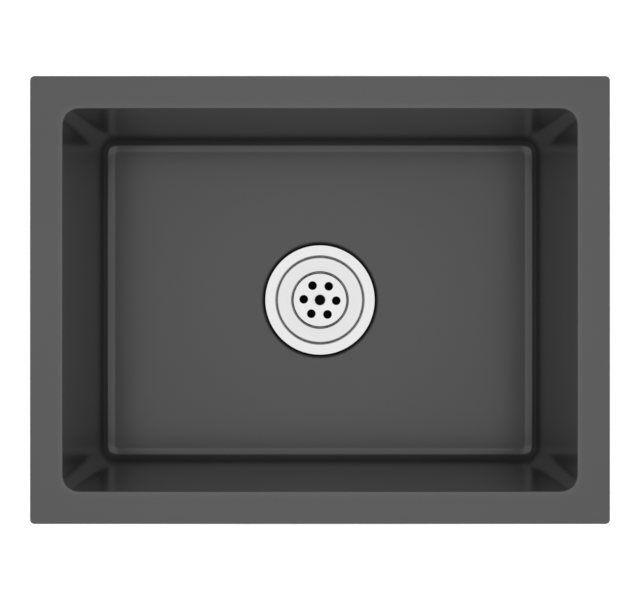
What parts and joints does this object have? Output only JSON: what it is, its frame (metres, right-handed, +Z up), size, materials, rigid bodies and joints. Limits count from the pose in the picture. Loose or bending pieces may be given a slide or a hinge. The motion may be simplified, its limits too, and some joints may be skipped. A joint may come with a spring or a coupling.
{
  "type": "undermount kitchen sink",
  "caption": "Rectangular stainless kitchen sink with one deep bowl, flat flange, rubber sound pads and a central basket strainer waste.",
  "frame": {"origin": "middle of the bowl's opening, level with the top face of the flange", "axes": "+X along the bowl's length, +Y to the back, +Z up, out of the bowl's mouth"},
  "size_m": [0.51, 0.394, 0.3193],
  "materials": {
    "coated_steel": "gunmetal coating over satin stainless sheet",
    "strainer_steel": "bright satin stainless",
    "tail_steel": "satin drawn tube",
    "die_cast": "as-cast matt grey metal",
    "sound_pad": "fine-grained matt rubber",
    "seal_rubber": "smooth black rubber",
    "fibre": "pressed fibre board",
    "knob_black": "black moulded plastic",
    "clip_nylon": "natural nylon"
  },
  "bodies": {
    "sink": {"sink_bowl": "coated_steel", "pad_front": "sound_pad", "pad_back": "sound_pad", "pad_left": "sound_pad", "pad_right": "sound_pad", "pad_base": "sound_pad", "strainer_body": "strainer_steel", "flange_gasket": "seal_rubber", "floor_gasket": "seal_rubber", "slip_ring": "fibre", "locknut": "die_cast", "post_guide": "strainer_steel", "outlet_washer": "seal_rubber", "tailpiece": "tail_steel", "coupling_nut": "die_cast"},
    "stopper": {"knob": "knob_black", "post": "strainer_steel", "stopper": "seal_rubber", "stopper_washer": "strainer_steel", "stopper_nut": "strainer_steel", "detent_clip": "clip_nylon"},
    "basket": {"strainer_basket": "strainer_steel"}
  },
  "joints": [
    {"name": "basket_lift", "type": "slide", "parent": "sink", "child": "stopper", "axis": [0, 0, 1], "range_m": [0, 0.27]},
    {"name": "basket_spin", "type": "hinge", "parent": "stopper", "child": "basket", "pos_m": [0, 0, -0.2247], "axis": [0, 0, 1], "continuous": true}
  ]
}
